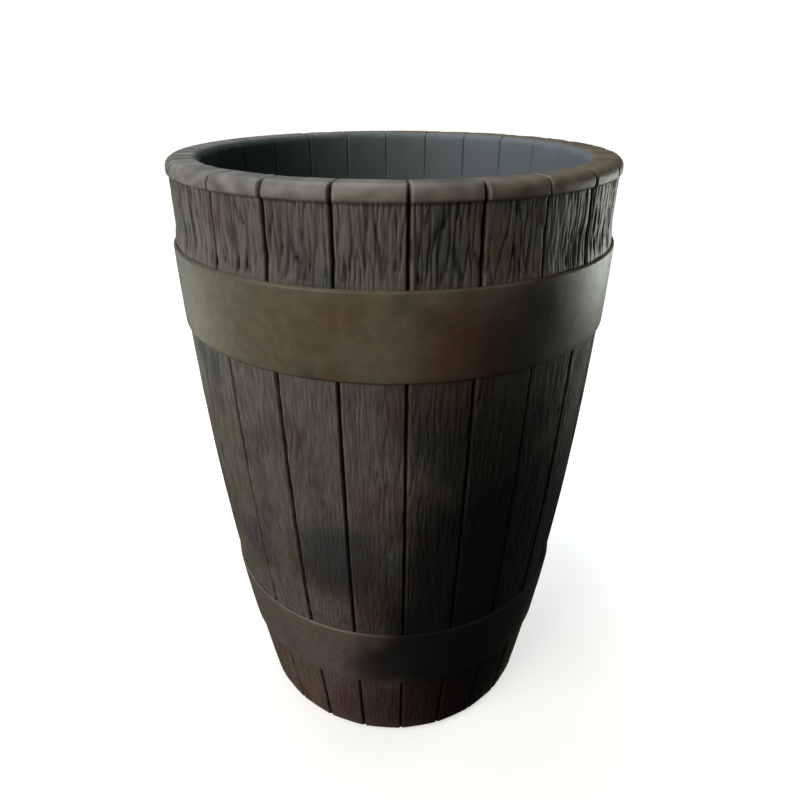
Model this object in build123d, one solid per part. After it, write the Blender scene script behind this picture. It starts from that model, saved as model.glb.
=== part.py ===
from build123d import *
from math import cos, hypot, radians, sqrt, tan
import os

# A tall conical tub planter, coopered like a barrel: bevelled staves held by two
# wide bands, with a jointed bottom head seated in a groove near their feet.
# Millimetres, +Z up, origin at the centre of the foot. One stave seam faces -Y.

# Body. Each stave follows one long arc, upright near the rim. The radius is the
# tub's at its seams, because a stave's faces are flat from edge to edge.
height = 620.0
rim_radius = 210.0
upright_height = 565.0
stave_arc_radius = 3450.0
stave_count = 24
stave_thickness = 30.0

# Stave ends and edges
rim_outer_round = 10.0
rim_inner_round = 8.0
foot_bevel = 6.0
seam_depth = 4.0
seam_half_width = 2.8
seam_fade_drop = 50.0

# Bands: flat strip. The upper one is rolled straight, the lower one to the taper
band_thickness = 2.6
band_edge_bevel = 1.2
band_clearance = 0.3
upper_band_low = 472.0
upper_band_high = 547.0
lower_band_low = 100.0
lower_band_high = 182.0

# Bottom head, rebated to a lip that sits in a groove cut round the staves
groove_low = 34.0
groove_width = 8.0
groove_depth = 6.0
head_thickness = 18.0
head_board_count = 4
head_side_clearance = 0.3
head_top_clearance = 0.2
head_shoulder_gap = 3.0

# Tongue-and-groove joints between the head boards, and the two drain holes
tongue_length = 5.0
tongue_thickness = 6.0
tongue_clearance = 0.1
tongue_end_gap = 0.4
drain_hole_diameter = 16.0

stave_angle = 360.0 / stave_count
half_angle = radians(stave_angle / 2)
rim_outer_bevel = rim_outer_round * (2 - sqrt(2))
rim_inner_bevel = rim_inner_round * (2 - sqrt(2))
arc_centre = rim_radius - stave_arc_radius
face_inset = rim_radius * (1 - cos(half_angle))
back_inset = face_inset + stave_thickness


def wall(z, inset=0.0):
    """Radius at height z of the line through the seams, or of one inside it."""
    arc_radius = stave_arc_radius - inset
    return arc_centre + sqrt(arc_radius**2 - (z - upright_height) ** 2)


def wall_arc(low, high, inset=0.0):
    """The wall's line from low to high, or one that far inside it."""
    middle = (low + high) / 2
    return ThreePointArc(
        (wall(low, inset), low),
        (wall(middle, inset), middle),
        (wall(high, inset), high),
    )


def corner(shape, x, y):
    """The corner of a flat shape that lies nearest to a point."""
    return shape.vertices().sort_by_distance(Vector(x, y))[0]


def stave_section():
    """The stave's long section: rounded rim, bevelled foot, groove for the head."""
    face = wall_arc(0, height, face_inset)
    back = wall_arc(0, height, back_inset)
    outline = Wire([face, Line(face @ 1, back @ 1), back, Line(back @ 0, face @ 0)])
    section = Sketch() + make_face(outline)
    rim_outside = corner(section, wall(height, face_inset), height)
    section = fillet(rim_outside, rim_outer_round)
    rim_inside = corner(section, wall(height, back_inset), height)
    section = fillet(rim_inside, rim_inner_round)
    for inset in (face_inset, back_inset):
        section = chamfer(corner(section, wall(0, inset), 0), foot_bevel)
    groove_middle = groove_low + groove_width / 2
    groove_centre = Pos(wall(groove_middle, back_inset), groove_middle)
    return section - groove_centre * Rectangle(2 * groove_depth, groove_width)


def seam_path():
    """The seam's line: up the outside, over the rim and fading out inside."""
    outside_top = height - rim_outer_bevel
    inside_top = height - rim_inner_bevel
    fade_low = height - seam_fade_drop
    over_rim = Polyline(
        (wall(outside_top), outside_top),
        (wall(height) - rim_outer_bevel, height),
        (wall(height, back_inset) + rim_inner_bevel, height),
        (wall(inside_top, back_inset), inside_top),
        (wall(fade_low, back_inset + seam_depth + 1), fade_low),
    )
    return Wire([wall_arc(-seam_depth, outside_top), *over_rim.edges()])


def seam_cutter():
    """A long V, swept along the seam, that bevels the two staves beside it."""
    path = Plane.XZ * seam_path()
    beyond = seam_depth / 2
    half_width = seam_half_width * (seam_depth + beyond) / seam_depth
    section = make_face(Polyline(
        (seam_depth, 0),
        (-beyond, half_width),
        (-beyond, -half_width),
        close=True,
    ))
    start = Plane(path @ 0, x_dir=(-1, 0, 0), z_dir=path % 0)
    return sweep(start * section, path=path, transition=Transition.RIGHT)


def make_stave():
    """One stave, its middle over the X axis: a board with radial edges."""
    blank = extrude(Plane.XZ * stave_section(), rim_radius / 4, both=True)
    reach = 2 * rim_radius
    spread = reach * tan(half_angle)
    sector = make_face(Polyline((0, 0), (reach, -spread), (reach, spread), close=True))
    blank = blank & extrude(sector, height)
    cutter = seam_cutter()
    for side in (-1, 1):
        blank -= Rot(0, 0, side * stave_angle / 2) * cutter
    return blank


def stave_edge(z):
    """Radius of the two edges that a stave's flat face has beside its seams."""
    face = wall(z, face_inset)
    return hypot(face, face * tan(half_angle) - seam_half_width)


def band(low, high, low_radius, high_radius):
    """A seamless hoop of flat strip, given by its inner radius at each edge."""
    section = Sketch() + make_face(Polyline(
        (low_radius, low),
        (low_radius + band_thickness, low),
        (high_radius + band_thickness, high),
        (high_radius, high),
        close=True,
    ))
    for radius, z in ((low_radius, low), (high_radius, high)):
        edge = corner(section, radius + band_thickness, z)
        section = chamfer(edge, band_edge_bevel)
    return revolve(Plane.XZ * section, Axis.Z, 360)


def head_disc():
    """The whole head: a disc whose upper part stands out as a lip."""
    groove_wall = wall(groove_low + groove_width / 2, back_inset)
    radius = groove_wall + groove_depth - head_side_clearance
    lip_thickness = groove_width - head_top_clearance
    upward = (Align.CENTER, Align.CENTER, Align.MIN)
    bottom = groove_low + lip_thickness - head_thickness
    body = Cylinder(groove_wall - head_shoulder_gap, head_thickness, align=upward)
    lip = Cylinder(radius, lip_thickness, align=upward)
    return Pos(0, 0, bottom) * body + Pos(0, 0, groove_low) * lip, radius


def head_boards():
    """The head's boards, tongued and grooved together and drilled for drainage."""
    disc, radius = head_disc()
    width = 2 * radius / head_board_count
    level = disc.center(CenterOf.BOUNDING_BOX).Z
    drain = Cylinder(drain_hole_diameter / 2, 2 * head_thickness)
    for side in (-1, 1):
        disc -= Pos(0, side * width / 2, level) * drain
    tongue = Box(2 * radius, 2 * tongue_length, tongue_thickness)
    groove_reach = tongue_length + tongue_end_gap
    groove = Box(2 * radius, 2 * groove_reach, tongue_thickness + 2 * tongue_clearance)
    boards = []
    for number in range(head_board_count):
        front = number * width - radius
        back = front + width
        board = disc & Pos(0, (front + back) / 2, level) * Box(2 * radius, width, head_thickness)
        if number < head_board_count - 1:
            board += disc & Pos(0, back, level) * tongue
        if number > 0:
            board -= Pos(0, front, level) * groove
        boards.append(board)
    return boards


os.makedirs("parts", exist_ok=True)

# Staves are numbered anticlockwise, seen from above, from the seam that faces -Y.
stave = make_stave()
for number in range(stave_count):
    turned = Rot(0, 0, 270 + (number + 0.5) * stave_angle) * stave
    export_step(turned, f"parts/stave_{number + 1:02d}.step")

upper_radius = stave_edge(upper_band_high) + band_clearance
upper_band = band(upper_band_low, upper_band_high, upper_radius, upper_radius)
export_step(upper_band, "parts/upper_band.step")

lower_radii = (stave_edge(z) + band_clearance for z in (lower_band_low, lower_band_high))
lower_band = band(lower_band_low, lower_band_high, *lower_radii)
export_step(lower_band, "parts/lower_band.step")

for number, board in enumerate(head_boards()):
    export_step(board, f"parts/head_board_{number + 1}.step")
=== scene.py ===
# A tall conical tub planter: staves with raised grain, two painted hoops and a jointed head.
from math import atan2, cos, exp, hypot, pi, radians, sin, sqrt

import bmesh
import bpy
from mathutils import Matrix, Vector, noise


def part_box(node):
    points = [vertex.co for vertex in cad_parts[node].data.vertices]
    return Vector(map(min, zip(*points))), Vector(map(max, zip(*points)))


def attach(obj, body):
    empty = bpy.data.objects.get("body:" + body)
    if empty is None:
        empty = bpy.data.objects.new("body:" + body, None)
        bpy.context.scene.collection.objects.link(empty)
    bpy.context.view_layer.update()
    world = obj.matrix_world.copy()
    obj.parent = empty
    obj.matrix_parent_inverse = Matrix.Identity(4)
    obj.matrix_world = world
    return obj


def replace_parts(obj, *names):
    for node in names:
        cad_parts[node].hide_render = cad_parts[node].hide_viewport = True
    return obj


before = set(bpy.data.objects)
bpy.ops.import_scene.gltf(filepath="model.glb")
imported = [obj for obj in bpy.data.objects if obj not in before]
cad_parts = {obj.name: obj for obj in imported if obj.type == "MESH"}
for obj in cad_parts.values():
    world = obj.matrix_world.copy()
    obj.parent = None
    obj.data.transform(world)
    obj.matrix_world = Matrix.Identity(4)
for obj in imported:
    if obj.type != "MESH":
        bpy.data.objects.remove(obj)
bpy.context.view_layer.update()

mm = 0.001

# The tub, at its solids' sizes
height = 620 * mm
rim_radius = 210 * mm
upright_height = 565 * mm
stave_arc_radius = 3450 * mm
stave_count = 24
stave_angle = 2 * pi / stave_count
thickness = 30 * mm

# The staves' ends: the rim a little tighter than the solids', the foot round where they are bevelled
rim_outer_round = 8 * mm
rim_inner_round = 8 * mm
foot_outer_round = 9 * mm
foot_inner_round = 6 * mm

# Stave blanks: columns and rows of points, close enough across for fibres 2 mm wide
columns = 72
outer_rows = 172
inner_rows = 44
rim_rows = 3

# How round a face is across: 0 is flat from edge to edge, 1 is the tub's own curve, as at the lip
crown = 0.6
crown_fade_low = height - 60 * mm
crown_fade_high = height - 15 * mm

# Seams: a V that runs up the face and over the rim, and fades out down the inside
seam_depth = 4.0 * mm
seam_half_width = 2.2 * mm
seam_wave_length = 14 * mm
seam_foot_fade = 16 * mm
seam_inside_fade = 52 * mm
joint_line_depth = 0.15 * mm
joint_line_half_width = 1.0 * mm

# The smooth lip round the rim, how far the grained face lies behind it, and the lip's dents
lip_low = height - 12 * mm
lip_step = 1.8 * mm
lip_step_width = 1.5 * mm
lip_step_fade = 22 * mm
lip_step_rows_reach = 7 * mm
dent_depth = 0.9 * mm
dent_width = 16 * mm
dent_height = 9 * mm
dent_fade_low = height - 40 * mm

# Where the lip and the seams' edges are rubbed paler
rub_width = 11 * mm
rub_height = 7 * mm
rub_fade_low = height - 15 * mm
rub_fade_high = height - 8 * mm
arris_width = 1.2 * mm

# The groove round the inside that the head's lip sits in
groove_low = 34 * mm
groove_high = 42 * mm
groove_depth = 5.2 * mm

# Grain: long strands that lean and wobble, with cracks, gaps, fibres and lumps in them
lean_reach = 1.2 * mm
lean_length = 55 * mm
wobble_reach = 0.7 * mm
wobble_width = 9 * mm
wobble_length = 11 * mm
strand_width = 4.4 * mm
strand_length = 38 * mm
crack_depth = 1.8 * mm
gap_width = 0.6 * strand_width
gap_length = 10 * mm
gap_depth = 0.6 * mm
fibre_width = 2.0 * mm
fibre_length = 11 * mm
fibre_depth = 0.4 * mm
lump_width = 13 * mm
lump_length = 45 * mm
lump_depth = 0.5 * mm
rough_width = 24 * mm
rough_length = 70 * mm
grain_foot_fade = 14 * mm
grain_lip_fade = 2 * mm

# How bold the grain is above, between and below the hoops, and how near to one it turns soft
grain_above = 1.0
grain_between = 0.52
grain_below = 0.5
grain_hoop_fade = 7 * mm

# Hoops: the height of each one's edges, its strip, and its hand-worked face and edges
hoops = {
    "upper_band": (472 * mm, 547 * mm),
    "lower_band": (100 * mm, 182 * mm),
}
upper_hoop_high = hoops["upper_band"][1]
hoop_thickness = 2.6 * mm
hoop_edge_round = 2.2 * mm
hoop_columns = 288
hoop_rows = 14
hoop_crown = 0.3 * mm
hoop_wave_depth = 0.4 * mm
hoop_wave_length = 38 * mm
hoop_ripple_depth = 0.12 * mm
hoop_ripple_length = 11 * mm
hoop_edge_inset = 0.25 * mm
hoop_edge_sway = 0.25 * mm
hoop_sway_length = 60 * mm


def wall(z):
    """Radius of the tub's outside at height z."""
    return rim_radius - stave_arc_radius + sqrt(stave_arc_radius**2 - (z - upright_height) ** 2)


def smooth_step(low, high, value):
    """0 at low, 1 at high, and an even curve between."""
    share = min(max((value - low) / (high - low), 0), 1)
    return share * share * (3 - 2 * share)


# Materials


def linear(hex_colour):
    """An sRGB hex colour as linear RGBA."""
    channels = [int(hex_colour[i:i + 2], 16) / 255 for i in (1, 3, 5)]
    return [c / 12.92 if c <= 0.04045 else ((c + 0.055) / 1.055) ** 2.4 for c in channels] + [1]


def add(tree, kind, links=None, **settings):
    """Add a node, with its attributes, its inputs' values and the sockets linked to them."""
    node = tree.nodes.new(kind)
    for name, value in settings.items():
        setattr(node, name, value)
    for name, source in (links or {}).items():
        socket = node.inputs[name]
        if isinstance(source, bpy.types.NodeSocket):
            tree.links.new(source, socket)
        else:
            socket.default_value = source
    return node


def new_material(name):
    """An empty material with its node tree and its output node."""
    material = bpy.data.materials.new(name)
    material.use_nodes = True
    tree = material.node_tree
    tree.nodes.clear()
    return material, tree, add(tree, "ShaderNodeOutputMaterial")


def coat(tree, mask, under, over):
    """One colour laid over another where a mask is 1: each a hex colour or an earlier coat."""
    under, over = (linear(c) if isinstance(c, str) else c for c in (under, over))
    return add(tree, "ShaderNodeMix", {0: mask, 6: under, 7: over}, data_type="RGBA").outputs[2]


def patches(tree, place, size, low, high, detail=3.0, stretch=(1, 1, 1), offset=(0, 0, 0)):
    """A soft mask of patches about as large as size, cut between two noise values."""
    moved = add(tree, "ShaderNodeMapping", {"Vector": place, "Scale": stretch, "Location": offset})
    pattern = add(
        tree,
        "ShaderNodeTexNoise",
        {"Vector": moved.outputs[0], "Scale": 1 / size, "Detail": detail},
    )
    cut = add(
        tree,
        "ShaderNodeMapRange",
        {"Value": pattern.outputs["Fac"], "From Min": low, "From Max": high},
        interpolation_type="SMOOTHSTEP",
    )
    return cut.outputs[0]


def stain(tree, place, body, bearing, level, reach, colour, share):
    """A soft stain, also used for painted shade, at a bearing in degrees from -Y towards +X and a height
    in mm.
    """
    turn = radians(bearing)
    radius = wall(level * mm)
    centre = (radius * sin(turn), -radius * cos(turn), level * mm)
    reach *= mm
    softness = 0.45
    moved = add(tree, "ShaderNodeMapping", {"Vector": place, "Location": [-c for c in centre]})
    away = add(tree, "ShaderNodeVectorMath", {0: moved.outputs[0]}, operation="LENGTH")

    # Its edge wanders by up to half its reach, in waves 45 mm long
    wander = add(tree, "ShaderNodeTexNoise", {"Vector": place, "Scale": 1 / (45 * mm), "Detail": 2.0})
    uneven = add(tree, "ShaderNodeMath", {0: wander.outputs["Fac"], 1: 0.5 * reach}, operation="MULTIPLY")
    total = add(tree, "ShaderNodeMath", {0: away.outputs["Value"], 1: uneven.outputs[0]}, operation="ADD")
    cut = add(
        tree,
        "ShaderNodeMapRange",
        {
            "Value": total.outputs[0],
            "From Min": reach * (1 + softness),
            "From Max": reach * (1 - softness),
        },
        interpolation_type="SMOOTHSTEP",
    )
    mask = add(tree, "ShaderNodeMath", {0: cut.outputs[0], 1: share}, operation="MULTIPLY")
    return coat(tree, mask.outputs[0], body, colour)


def dark_wash_and_painted_shade(tree, place, body):
    """A dark wash on one side, partly the finish's own and partly painted shade low down and to the
    right: bearing, level, reach, colour and share.
    """
    for bearing, level, reach, colour, share in (
        (10, 425, 58, "#1a1611", 0.5),
        (26, 400, 98, "#13120e", 0.82),
        (32, 300, 125, "#060604", 0.96),
        (32, 170, 140, "#040403", 0.97),
        (66, 230, 150, "#050504", 0.97),
        (12, 225, 85, "#090a08", 0.93),
        (12, 150, 82, "#060605", 0.96),
        (0, 150, 50, "#0b0b0a", 0.9),
        (-18, 278, 60, "#23272b", 0.75),
        (26, 60, 95, "#080303", 0.95),
        (16, 305, 62, "#080807", 0.8),
        (12, 45, 62, "#190b07", 0.85),
        (-6, 50, 62, "#33201a", 0.6),
        (-9, 135, 42, "#211e1b", 0.6),
    ):
        body = stain(tree, place, body, bearing, level, reach, colour, share)
    return body


def worn_gloss(tree, body, pattern, low, high):
    """A finish's roughness: it follows a fine pattern, and the darkest colour, in the dark wash and its
    painted shade, is nearly matt.
    """
    fine = add(tree, "ShaderNodeMapRange", {"Value": pattern, "To Min": low, "To Max": high})
    light = add(tree, "ShaderNodeRGBToBW", {"Color": body})
    matt = add(
        tree,
        "ShaderNodeMapRange",
        {"Value": light.outputs[0], "From Min": 0.05, "From Max": 0.005, "To Max": 0.4},
    )
    total = add(tree, "ShaderNodeMath", {0: fine.outputs[0], 1: matt.outputs[0]}, operation="ADD")
    return total.outputs[0]


def brushed_stained_oak():
    """Oak staves, wire-brushed and dark-stained: raised strands worn paler, cracks near black."""
    material, tree, output = new_material("brushed_stained_oak")
    place = add(tree, "ShaderNodeTexCoord").outputs["Object"]
    depth = add(tree, "ShaderNodeAttribute", attribute_name="depth").outputs["Fac"]
    inside = add(tree, "ShaderNodeAttribute", attribute_name="inside").outputs["Fac"]
    wear = add(tree, "ShaderNodeAttribute", attribute_name="wear").outputs["Fac"]
    axes = add(tree, "ShaderNodeSeparateXYZ", {"Vector": place})

    # Stain: patches of umber, charcoal and olive, as large as a hand, and warmer at the foot
    olive = patches(tree, place, 110 * mm, 0.42, 0.6)
    body = coat(tree, olive, "#5e5d55", "#5f5c4f")
    charcoal = patches(tree, place, 95 * mm, 0.5, 0.66, offset=(0.3, 0.1, 0.7))
    body = coat(tree, charcoal, body, "#444443")
    umber = patches(tree, place, 80 * mm, 0.54, 0.68, offset=(0.9, 0.4, 0.2))
    body = coat(tree, umber, body, "#55473a")
    foot = add(
        tree,
        "ShaderNodeMapRange",
        {"Value": axes.outputs["Z"], "From Min": 0.2, "From Max": 0.03, "To Max": 0.75},
        interpolation_type="SMOOTHSTEP",
    )
    body = coat(tree, foot.outputs[0], body, "#6d564c")
    body = stain(tree, place, body, -5, 350, 48, "#553a25", 0.3)
    body = stain(tree, place, body, 12, 458, 30, "#553c24", 0.6)

    # Strands of a redder and a greener brown, a few millimetres wide
    red = patches(tree, place, 9 * mm, 0.54, 0.72, detail=2.0, stretch=(1, 1, 0.22))
    body = coat(tree, red, body, coat(tree, 0.45, body, "#553f37"))
    green = patches(tree, place, 10 * mm, 0.52, 0.7, stretch=(1, 1, 0.2), offset=(0.4, 0.2, 0.8))
    body = coat(tree, green, body, coat(tree, 0.4, body, "#45442f"))

    # Fine streaks along the grain, 1 mm wide and 20 mm long
    streaks = patches(tree, place, 1.0 * mm, 0.35, 0.75, detail=4.0, stretch=(1, 1, 0.05))
    body = coat(tree, streaks, coat(tree, 0.45, body, "#151310"), body)

    # Cracks hold dark stain; the strands' tops are rubbed paler, and the rubbed colour's change from grey
    # on the left to brown on the right is painted light; the dark wash, partly painted shade, lies over
    # both
    crack = add(tree, "ShaderNodeMapRange", {"Value": depth, "From Min": 0.25, "From Max": 0.85})
    body = coat(tree, crack.outputs[0], body, "#0f0c09")
    side = add(
        tree,
        "ShaderNodeMapRange",
        {"Value": axes.outputs["X"], "From Min": -0.12, "From Max": 0.14},
    )
    body = coat(tree, wear, body, coat(tree, side.outputs[0], "#777671", "#6f6149"))
    body = dark_wash_and_painted_shade(tree, place, body)

    # Inside, the stain is green-grey, painted darker on the left and paler blue-grey on the right as
    # painted shade and light
    body = coat(tree, inside, body, coat(tree, side.outputs[0], "#3a453f", "#5a6368"))
    inner_crack = add(tree, "ShaderNodeMath", {0: crack.outputs[0], 1: inside}, operation="MULTIPLY")
    body = coat(tree, inner_crack.outputs[0], body, "#0f0c09")

    # Fibres 0.8 mm wide, drawn out along the grain
    along = add(tree, "ShaderNodeMapping", {"Vector": place, "Scale": (1, 1, 0.08)})
    fibre = add(
        tree,
        "ShaderNodeTexNoise",
        {"Vector": along.outputs[0], "Scale": 1 / (0.8 * mm), "Detail": 3.0},
    )
    bump = add(
        tree,
        "ShaderNodeBump",
        {"Height": fibre.outputs["Fac"], "Strength": 0.35, "Distance": 0.3 * mm},
    )
    shader = add(
        tree,
        "ShaderNodeBsdfPrincipled",
        {
            "Base Color": body,
            "Roughness": worn_gloss(tree, body, fibre.outputs["Fac"], 0.42, 0.62),
            "Normal": bump.outputs[0],
            "IOR": 1.5,
            "Specular IOR Level": 0.18,
        },
    )
    tree.links.new(shader.outputs[0], output.inputs[0])
    return material


def painted_hoop_steel():
    """Steel strip brushed with olive-brown paint: satin, with rusty and dark patches showing; some of the
    dark is painted shade.
    """
    material, tree, output = new_material("painted_hoop_steel")
    place = add(tree, "ShaderNodeTexCoord").outputs["Object"]
    level = add(tree, "ShaderNodeSeparateXYZ", {"Vector": place}).outputs["Z"]

    # Paint: hand-sized patches of olive, rust and black-brown, and redder towards the foot
    olive = patches(tree, place, 120 * mm, 0.4, 0.62)
    body = coat(tree, olive, "#565242", "#5d5847")
    rusty = patches(tree, place, 75 * mm, 0.56, 0.74, offset=(0.2, 0.6, 0.5))
    body = coat(tree, rusty, body, "#544736")
    dark = patches(tree, place, 85 * mm, 0.55, 0.7, offset=(0.7, 0.1, 0.3))
    body = coat(tree, dark, body, "#3d3a30")
    foot = add(
        tree,
        "ShaderNodeMapRange",
        {"Value": level, "From Min": 0.3, "From Max": 0.1, "To Max": 0.7},
        interpolation_type="SMOOTHSTEP",
    )
    body = coat(tree, foot.outputs[0], body, "#625651")
    body = stain(tree, place, body, 11, 490, 52, "#48311e", 0.75)
    # A dark spot right of the front on the upper hoop is painted shade
    body = stain(tree, place, body, 29, 505, 52, "#211e15", 0.75)
    # The dark wash, partly painted shade, lies over the hoops' paint too
    body = dark_wash_and_painted_shade(tree, place, body)
    mottle = patches(tree, place, 9 * mm, 0.35, 0.7, detail=5.0)
    body = coat(tree, mottle, coat(tree, 0.2, body, "#151310"), body)

    # Brush marks and lumps in the paint, 6 mm across
    lumps = add(tree, "ShaderNodeTexNoise", {"Vector": place, "Scale": 1 / (6 * mm), "Detail": 4.0})
    bump = add(
        tree,
        "ShaderNodeBump",
        {"Height": lumps.outputs["Fac"], "Strength": 0.25, "Distance": 0.6 * mm},
    )
    shader = add(
        tree,
        "ShaderNodeBsdfPrincipled",
        {
            "Base Color": body,
            "Roughness": worn_gloss(tree, body, lumps.outputs["Fac"], 0.36, 0.56),
            "Normal": bump.outputs[0],
            "IOR": 1.5,
            "Specular IOR Level": 0.22,
        },
    )
    tree.links.new(shader.outputs[0], output.inputs[0])
    return material


def planed_stained_oak():
    """Head boards: planed oak, stained and left matt, with grain lines along the boards."""
    material, tree, output = new_material("planed_stained_oak")
    place = add(tree, "ShaderNodeTexCoord").outputs["Object"]
    along = add(tree, "ShaderNodeMapping", {"Vector": place, "Scale": (0.06, 1, 1)})
    grain = add(
        tree,
        "ShaderNodeTexNoise",
        {"Vector": along.outputs[0], "Scale": 1 / (3 * mm), "Detail": 5.0, "Distortion": 0.6},
    )
    tone = add(
        tree,
        "ShaderNodeMapRange",
        {"Value": grain.outputs["Fac"], "From Min": 0.3, "From Max": 0.7},
    )
    body = coat(tree, tone.outputs[0], "#211a14", "#43372d")
    damp = patches(tree, place, 90 * mm, 0.45, 0.65)
    body = coat(tree, damp, body, "#201e19")
    bump = add(
        tree,
        "ShaderNodeBump",
        {"Height": grain.outputs["Fac"], "Strength": 0.4, "Distance": 0.4 * mm},
    )
    shader = add(
        tree,
        "ShaderNodeBsdfPrincipled",
        {"Base Color": body, "Roughness": 0.72, "Normal": bump.outputs[0], "IOR": 1.5},
    )
    tree.links.new(shader.outputs[0], output.inputs[0])
    return material


# Sections, from which staves and hoops are spun


def draw_section(bm, spots):
    """A flat section with corners at these distances and heights."""
    corners = [bm.verts.new((x, 0, z)) for x, z in spots]
    bm.faces.new(corners)
    return corners


def round_corner(bm, corner, radius, segments):
    """Round one corner of a section."""
    bmesh.ops.bevel(
        bm,
        geom=[corner],
        offset=radius,
        segments=segments,
        profile=0.5,
        affect="VERTICES",
        material=-1,
    )


def longest(edges):
    """The longest of some edges."""
    return max(edges, key=lambda e: e.calc_length())


# Staves


def stave_blank():
    """One stave as a curved board without grain: a rounded section, bent and spun by 15 degrees."""
    bm = bmesh.new()
    groove_back = groove_depth - thickness
    corners = draw_section(bm, (
        (-thickness, 0),
        (0, 0),
        (0, height),
        (-thickness, height),
        (-thickness, groove_high),
        (groove_back, groove_high),
        (groove_back, groove_low),
        (-thickness, groove_low),
    ))
    rounds = (foot_inner_round, foot_outer_round, rim_outer_round, rim_inner_round)
    for corner, radius, segments in zip(corners, rounds, (4, 6, 9, 7)):
        round_corner(bm, corner, radius, segments)

    # Rows up both sides, closer at the lip's step, and a few across the rim
    for x, rows in ((0, outer_rows), (-thickness, inner_rows)):
        upright = longest(e for e in bm.edges if all(abs(v.co.x - x) < 1e-6 for v in e.verts))
        bmesh.ops.subdivide_edges(bm, edges=[upright], cuts=rows)
    step_edges = [
        e for e in bm.edges
        if all(abs(v.co.x) < 1e-6 and abs(v.co.z - lip_low) < lip_step_rows_reach for v in e.verts)
    ]
    bmesh.ops.subdivide_edges(bm, edges=step_edges, cuts=2)
    rim_edge = longest(e for e in bm.edges if all(abs(v.co.z - height) < 1e-6 for v in e.verts))
    bmesh.ops.subdivide_edges(bm, edges=[rim_edge], cuts=rim_rows)

    # Bent to the wall's curve and spun, with both edges capped
    bmesh.ops.delete(bm, geom=list(bm.faces), context="FACES_ONLY")
    for vert in bm.verts:
        vert.co.x += wall(vert.co.z)
    section = list(bm.edges)
    turned = bmesh.ops.spin(
        bm,
        geom=list(bm.verts) + section,
        cent=(0, 0, 0),
        axis=(0, 0, 1),
        angle=stave_angle,
        steps=columns,
        use_merge=False,
    )
    last = [e for e in turned["geom_last"] if isinstance(e, bmesh.types.BMEdge)]
    for ends in (section, last):
        cap = bmesh.ops.contextual_create(bm, geom=ends)
        for face in cap["faces"]:
            for edge in face.edges:
                edge.smooth = False
    centred = Matrix.Rotation(-stave_angle / 2, 3, "Z")
    bmesh.ops.rotate(bm, verts=bm.verts, cent=(0, 0, 0), matrix=centred)
    bmesh.ops.recalc_face_normals(bm, faces=bm.faces)
    for face in bm.faces:
        face.smooth = True
    return bm


def section_normal(back, z):
    """The way out of the section, at a depth behind the outside face and a height."""
    outer_half = back > -thickness / 2
    low_round = foot_outer_round if outer_half else foot_inner_round
    high_round = rim_outer_round if outer_half else rim_inner_round
    side = high_round if z > height / 2 else low_round
    core_back = -side if outer_half else side - thickness
    core_back = min(back, core_back) if outer_half else max(back, core_back)
    core_z = min(max(z, low_round), height - high_round)
    out = Vector((back - core_back, 0, z - core_z))
    return out.normalized() if out.length > 1e-7 else Vector((0, 0, 1 if z > height / 2 else -1))


def waves(across, along, width, length, seed):
    """Noise from -1 to 1 over a face, in waves of a width and a length."""
    return noise.noise((across / width, along / length, seed))


def grain_depth(across, z, seed):
    """How deep the grain lies, in metres, and the same as a share from 0 to 1."""
    lean = lean_reach * noise.noise((seed, z / lean_length, 0.3))
    wobble = wobble_reach * waves(across, z, wobble_width, wobble_length, seed)
    line = across + (lean + wobble)
    strand = waves(line, z, strand_width, strand_length, seed)
    crack = max(0.0, 1 - abs(strand) / 0.3) ** 1.25
    gap = smooth_step(0.22, 0.5, waves(line, z, gap_width, gap_length, seed + 10))
    fibre = 0.5 + 0.5 * waves(line, z, fibre_width, fibre_length, seed + 20)
    lump = 0.5 + 0.5 * waves(across, z, lump_width, lump_length, seed + 40)
    rough = 0.6 + 0.4 * waves(across, z, rough_width, rough_length, seed + 60)
    depth = (crack_depth * crack + gap_depth * gap) * rough + fibre_depth * fibre + lump_depth * lump
    return depth, min(1.0, 0.8 * crack * rough + 0.3 * gap + 0.15 * fibre)


def grain_strength(z):
    """The grain is boldest above the upper hoop, softer below it, and soft beside a hoop."""
    if z > sum(hoops["upper_band"]) / 2:
        bold = grain_above
    elif z > sum(hoops["lower_band"]) / 2:
        bold = grain_between
    else:
        bold = grain_below
    to_hoop = min(abs(z - edge) for edges in hoops.values() for edge in edges)
    return bold * (0.35 + 0.65 * smooth_step(0, grain_hoop_fade, to_hoop))


def seam_nature(number, side):
    """How open a seam is, the same for both staves beside it: on the face and over the rim."""
    place = (number if side > 0 else number - 1) % stave_count * 1.37 + 0.5
    face_open = 1 + 0.35 * noise.noise((place, 2.2, 0.4))
    rim_open = max(0.25, 0.6 + 0.9 * noise.noise((place, 7.7, 3.1)))
    return face_open, rim_open


def seam_cut(number, seed, turn, to_edge, back, z, out):
    """A seam at a point: how deep, how near and how little faded as shares, and its half width."""
    side = 1 if turn > 0 else -1
    face_open, rim_open = seam_nature(number, side)
    uneven = 1 + 0.3 * noise.noise((z / seam_wave_length, side * 3.1, seed))
    over_rim = smooth_step(0.9, 0.2, out.x) if z > height / 2 else 0.0
    half_width = seam_half_width * uneven * face_open * (1 - 0.35 * over_rim)
    near = max(0.0, 1 - to_edge / half_width)

    # Inside, it fades to a joint line
    fade = 1.0
    if out.x < -0.2:
        fade = 0.6 * smooth_step(height - seam_inside_fade, height - 0.75 * seam_inside_fade, z)
    hair = joint_line_depth * max(0.0, 1 - to_edge / joint_line_half_width) * (1 - fade)

    # It is shallower over the rim, most of all on the rim's inner half, and at the foot
    rim_cut = (1 - over_rim) + over_rim * 0.5 * rim_open
    rim_cut *= 1 - 0.5 * smooth_step(-0.35, -0.75, back / thickness) * over_rim
    rim_cut += smooth_step(0.6, 1.0, -out.x) * 0.35
    foot_cut = 0.25 + 0.75 * smooth_step(0, seam_foot_fade, z)
    seam = seam_depth * near * fade * (rim_cut * foot_cut)
    return seam + hair, near, fade, half_width


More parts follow.
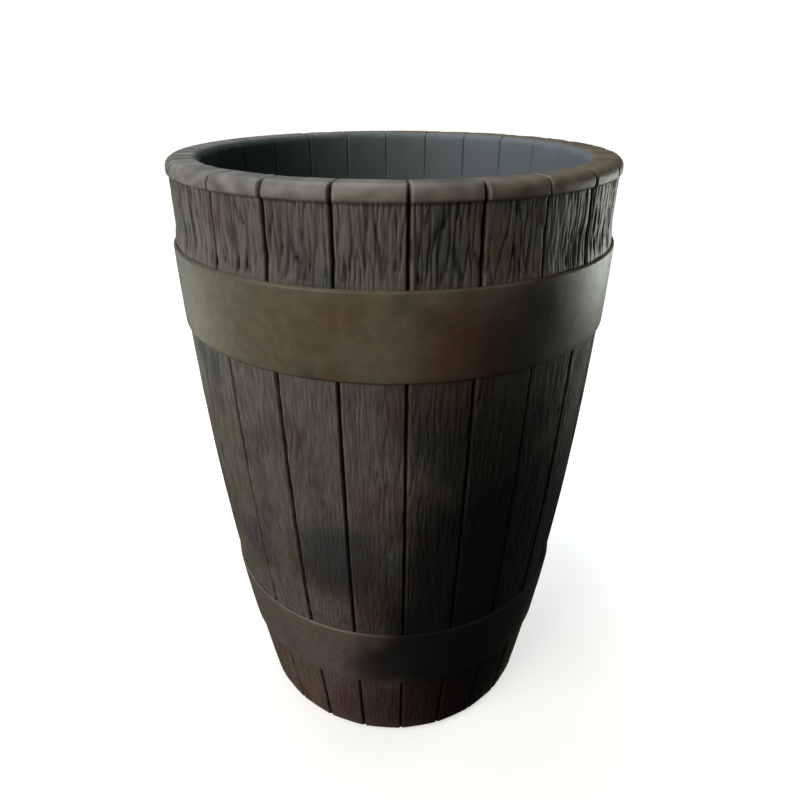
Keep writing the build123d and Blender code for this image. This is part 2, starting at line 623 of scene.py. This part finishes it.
def carve_stave(bm, number):
    """Press the seams, the lip's step and the grain into a blank stave."""
    seed = 7.3 * number
    depth_layer = bm.verts.layers.float.new("depth")
    inside_layer = bm.verts.layers.float.new("inside")
    wear_layer = bm.verts.layers.float.new("wear")
    for vert in bm.verts:
        x, y, z = vert.co
        radius = hypot(x, y)
        turn = atan2(y, x)
        back = radius - wall(z)
        out = section_normal(back, z)
        radial = Vector((x / radius, y / radius, 0))
        normal = radial * out.x + Vector((0, 0, out.z))

        # The head's groove stays as it is
        in_groove = 0.5 * groove_depth < back + thickness < 1.1 * groove_depth
        if in_groove and groove_low - 1 * mm < z < groove_high + 1 * mm:
            vert[inside_layer] = 1.0
            continue
        across = radius * turn
        to_edge = radius * (stave_angle / 2 - abs(turn))
        face_share = max(0.0, out.x)
        inner_share = smooth_step(0.3, 0.8, -out.x) if z > height / 2 else float(out.x < -0.3)

        # The flat of the board, partly crowned
        round_share = crown + (1 - crown) * smooth_step(crown_fade_low, crown_fade_high, z)
        flat = rim_radius * (1 - cos(stave_angle / 2) / cos(turn)) * (1 - round_share)
        seam, near, fade, half_width = seam_cut(number, seed, turn, to_edge, back, z, out)

        # Grain, only on the face below the lip, and softer beside a seam
        grained = smooth_step(lip_low, lip_low - grain_lip_fade, z) * face_share**2
        grained *= smooth_step(0, grain_foot_fade, z)
        strength = grain_strength(z)
        grain, tone = grain_depth(across, z, seed) if grained > 0 else (0.0, 0.0)
        beside_seam = 1 - smooth_step(0.0, 1.0, near) * 0.8

        # The face lies a step behind the lip, less and less down to the upper hoop
        step = lip_step * smooth_step(lip_low, lip_low - lip_step_width, z) * face_share
        step *= smooth_step(upper_hoop_high, upper_hoop_high + lip_step_fade, z)
        hollow = grain * grained * strength * beside_seam + step

        # Dents and nicks on the lip
        dent = max(0.0, waves(across, z + back, dent_width, dent_height, seed + 80))
        dents = (1 - grained) * dent_depth * dent * smooth_step(dent_fade_low, lip_low, z)
        vert.co -= flat * radial + normal * (seam + hollow + dents)

        # Wear on the seams' edges, on the lip and on the tops of the strands
        rub = 0.5 + 0.5 * waves(across, z, rub_width, rub_height, seed + 90)
        arris = 0.35 * exp(-(((to_edge - half_width) / arris_width) ** 2))
        lip_rub = 1.1 * (1 - grained) * smooth_step(rub_fade_low, rub_fade_high, z)
        tops = 1.2 * grained * max(0.0, 0.25 - tone)
        worn = ((arris + lip_rub) * (1 - inner_share) + tops) * rub * (1 - 0.9 * near)
        vert[wear_layer] = min(1.0, worn)
        vert[depth_layer] = min(1.0, tone * grained * strength + 0.9 * near * fade)
        vert[inside_layer] = inner_share


def make_piece(name, bm, material):
    """A finished mesh, as an object that rides on the tub."""
    mesh = bpy.data.meshes.new(name)
    bm.to_mesh(mesh)
    bm.free()
    piece = bpy.data.objects.new(name, mesh)
    bpy.context.scene.collection.objects.link(piece)
    mesh.materials.append(material)
    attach(piece, "root")
    return piece


def make_staves(material):
    """All the staves, each carved from a copy of one blank and turned to its place."""
    blank = stave_blank()
    for number in range(1, stave_count + 1):
        bm = blank.copy()
        carve_stave(bm, number)
        angle = radians(270) + (number - 0.5) * stave_angle
        bmesh.ops.rotate(bm, verts=bm.verts, cent=(0, 0, 0), matrix=Matrix.Rotation(angle, 3, "Z"))
        node = f"stave_{number:02d}"
        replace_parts(make_piece(f"{node}_grained", bm, material), node)
    blank.free()


# Hoops


def make_hoop(node, low, high, material):
    """A hoop of strip with soft edges and a slightly hand-worked face."""
    low_corner, high_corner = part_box(node)
    outer_high = max(abs(c) for c in (*low_corner[:2], *high_corner[:2]))
    taper = wall(high) - wall(low)
    outer_low = outer_high - taper
    bm = bmesh.new()
    corners = draw_section(bm, (
        (outer_low - hoop_thickness, low),
        (outer_low, low),
        (outer_high, high),
        (outer_high - hoop_thickness, high),
    ))
    for corner in corners[1:3]:
        round_corner(bm, corner, hoop_edge_round, 6)
    face_edge = longest(e for e in bm.edges if min(v.co.x for v in e.verts) > outer_low - 1 * mm)
    bmesh.ops.subdivide_edges(bm, edges=[face_edge], cuts=hoop_rows)
    bmesh.ops.delete(bm, geom=list(bm.faces), context="FACES_ONLY")
    bmesh.ops.spin(
        bm,
        geom=list(bm.verts) + list(bm.edges),
        cent=(0, 0, 0),
        axis=(0, 0, 1),
        angle=2 * pi,
        steps=hoop_columns,
        use_merge=True,
    )
    bmesh.ops.recalc_face_normals(bm, faces=bm.faces)

    # The outside is crowned, rippled and narrowed a little, with uneven edges
    for vert in bm.verts:
        x, y, z = vert.co
        radius = hypot(x, y)
        share = (z - low) / (high - low)
        if radius < outer_low + taper * share - 0.7 * hoop_thickness:
            continue
        wave = 0.5 + 0.5 * noise.noise(vert.co / hoop_wave_length)
        ripple = 0.5 + 0.5 * noise.noise(vert.co / hoop_ripple_length)
        inward = hoop_crown * (2 * share - 1) ** 2
        inward += hoop_wave_depth * wave + hoop_ripple_depth * ripple
        sway = hoop_edge_sway * waves(x, y, hoop_sway_length, hoop_sway_length, 5.0)
        edge_side = 1 if share > 0.5 else -1
        vert.co.x -= inward * x / radius
        vert.co.y -= inward * y / radius
        vert.co.z -= edge_side * (hoop_edge_inset + sway)
    for face in bm.faces:
        face.smooth = True
    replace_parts(make_piece(f"{node}_hoop", bm, material), node)


# The tub


def finish_head(material):
    """The head boards keep their solids' shapes and get their wood."""
    for node in [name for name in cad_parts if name.startswith("head_board")]:
        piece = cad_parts[node]
        piece.data.materials.clear()
        piece.data.materials.append(material)


make_staves(brushed_stained_oak())
hoop_paint = painted_hoop_steel()
for hoop_node, (hoop_low, hoop_high) in hoops.items():
    make_hoop(hoop_node, hoop_low, hoop_high, hoop_paint)
finish_head(planed_stained_oak())


# Camera, at the photograph's angle

camera_bearing = radians(-2.87)
camera_pitch = radians(90 - 27.3)
camera_reach = 3.118 * rim_radius
camera_height = height + 0.328 * rim_radius
lens_length = 28.98
lens_shift = 0.0075


def add_camera():
    """The camera: a little above the rim, close, and looking down at the tub."""
    data = bpy.data.cameras.new("camera")
    data.sensor_width = 36
    data.lens = lens_length
    data.shift_x = lens_shift
    camera = bpy.data.objects.new("camera", data)
    bpy.context.scene.collection.objects.link(camera)
    across = camera_reach * sin(camera_bearing)
    camera.location = (across, -camera_reach * cos(camera_bearing), camera_height)
    camera.rotation_euler = (camera_pitch, 0, camera_bearing)
    bpy.context.scene.camera = camera


# Floor and light

floor_radius = 14
painted_shadow_radius = 0.12
glow_from_tub = 0.165
glow_near = 0.6
rise_from = 0.3
rise_to = 1.1
glow_rise = 0.4
world_strength = 0.14


def studio_floor():
    """A pale floor: white to the camera apart from the tub's shadow, cast and also painted under the tub,
    and dim as a reflector.
    """
    material, tree, output = new_material("studio_floor")
    seen = add(tree, "ShaderNodeLightPath").outputs["Is Camera Ray"]
    place = add(tree, "ShaderNodeTexCoord").outputs["Object"]
    away = add(tree, "ShaderNodeVectorMath", {0: place}, operation="LENGTH").outputs["Value"]

    # It glows a little about the tub, more and more outwards, and not at all under it, which paints a
    # shadow there
    near = add(
        tree,
        "ShaderNodeMapRange",
        {"Value": away, "From Min": painted_shadow_radius, "From Max": glow_from_tub, "To Max": glow_near},
    )
    far = add(
        tree,
        "ShaderNodeMapRange",
        {"Value": away, "From Min": rise_from, "From Max": rise_to, "To Max": glow_rise},
    )
    strength = add(tree, "ShaderNodeMath", {0: near.outputs[0], 1: far.outputs[0]}, operation="ADD")
    colour = coat(tree, seen, "#434342", "#c6c6c4")
    diffuse = add(tree, "ShaderNodeBsdfDiffuse", {"Color": colour})
    glow = add(
        tree,
        "ShaderNodeEmission",
        {"Color": linear("#ffffff"), "Strength": strength.outputs[0]},
    )
    both = add(tree, "ShaderNodeAddShader", {0: diffuse.outputs[0], 1: glow.outputs[0]})
    mix = add(tree, "ShaderNodeMixShader", {0: seen, 1: diffuse.outputs[0], 2: both.outputs[0]})
    tree.links.new(mix.outputs[0], output.inputs[0])
    bm = bmesh.new()
    bmesh.ops.create_circle(bm, cap_ends=True, segments=96, radius=floor_radius)
    mesh = bpy.data.meshes.new("floor")
    bm.to_mesh(mesh)
    bm.free()
    mesh.materials.append(material)
    floor = bpy.data.objects.new("floor", mesh)
    bpy.context.scene.collection.objects.link(floor)


def add_area_light(name, place, aim, size, power, colour):
    """A soft rectangular lamp, hidden from the camera, at a place and aimed at a point."""
    data = bpy.data.lights.new(name, "AREA")
    data.shape = "RECTANGLE"
    data.size, data.size_y = size
    data.energy = power
    data.color = linear(colour)[:3]
    light = bpy.data.objects.new(name, data)
    light.location = place
    light.rotation_euler = (Vector(aim) - Vector(place)).to_track_quat("-Z", "Y").to_euler()
    light.visible_camera = False
    bpy.context.scene.collection.objects.link(light)


def add_world():
    """White to the camera, and a low neutral light on the tub."""
    world = bpy.data.worlds.new("studio")
    world.use_nodes = True
    tree = world.node_tree
    tree.nodes.clear()
    path = add(tree, "ShaderNodeLightPath")
    dim = add(tree, "ShaderNodeBackground", {"Color": linear("#b9c0c6"), "Strength": world_strength})
    white = add(tree, "ShaderNodeBackground", {"Color": linear("#ffffff"), "Strength": 1.0})
    mix = add(
        tree,
        "ShaderNodeMixShader",
        {0: path.outputs["Is Camera Ray"], 1: dim.outputs[0], 2: white.outputs[0]},
    )
    output = add(tree, "ShaderNodeOutputWorld")
    tree.links.new(mix.outputs[0], output.inputs[0])
    bpy.context.scene.world = world


# A key lamp high on the left, a card at each side behind the tub, and one overhead for the rim
add_camera()
studio_floor()
add_world()
add_area_light("key", (-1.3, -1.15, 1.3), (0, 0, 0.33), (1.3, 1.5), 40, "#fff9f0")
add_area_light("left_card", (-1.0, 0.3, 0.15), (0, 0, 0.2), (1.0, 0.7), 4.5, "#dfeae4")
add_area_light("right_card", (1.0, 0.3, 0.42), (0.1, 0, 0.4), (0.6, 0.4), 7, "#e9f1e4")
add_area_light("top_card", (-0.2, 0.25, 1.7), (0, 0, 0.5), (0.8, 0.8), 16, "#dbe4ee")
bpy.context.scene.view_settings.view_transform = "Standard"
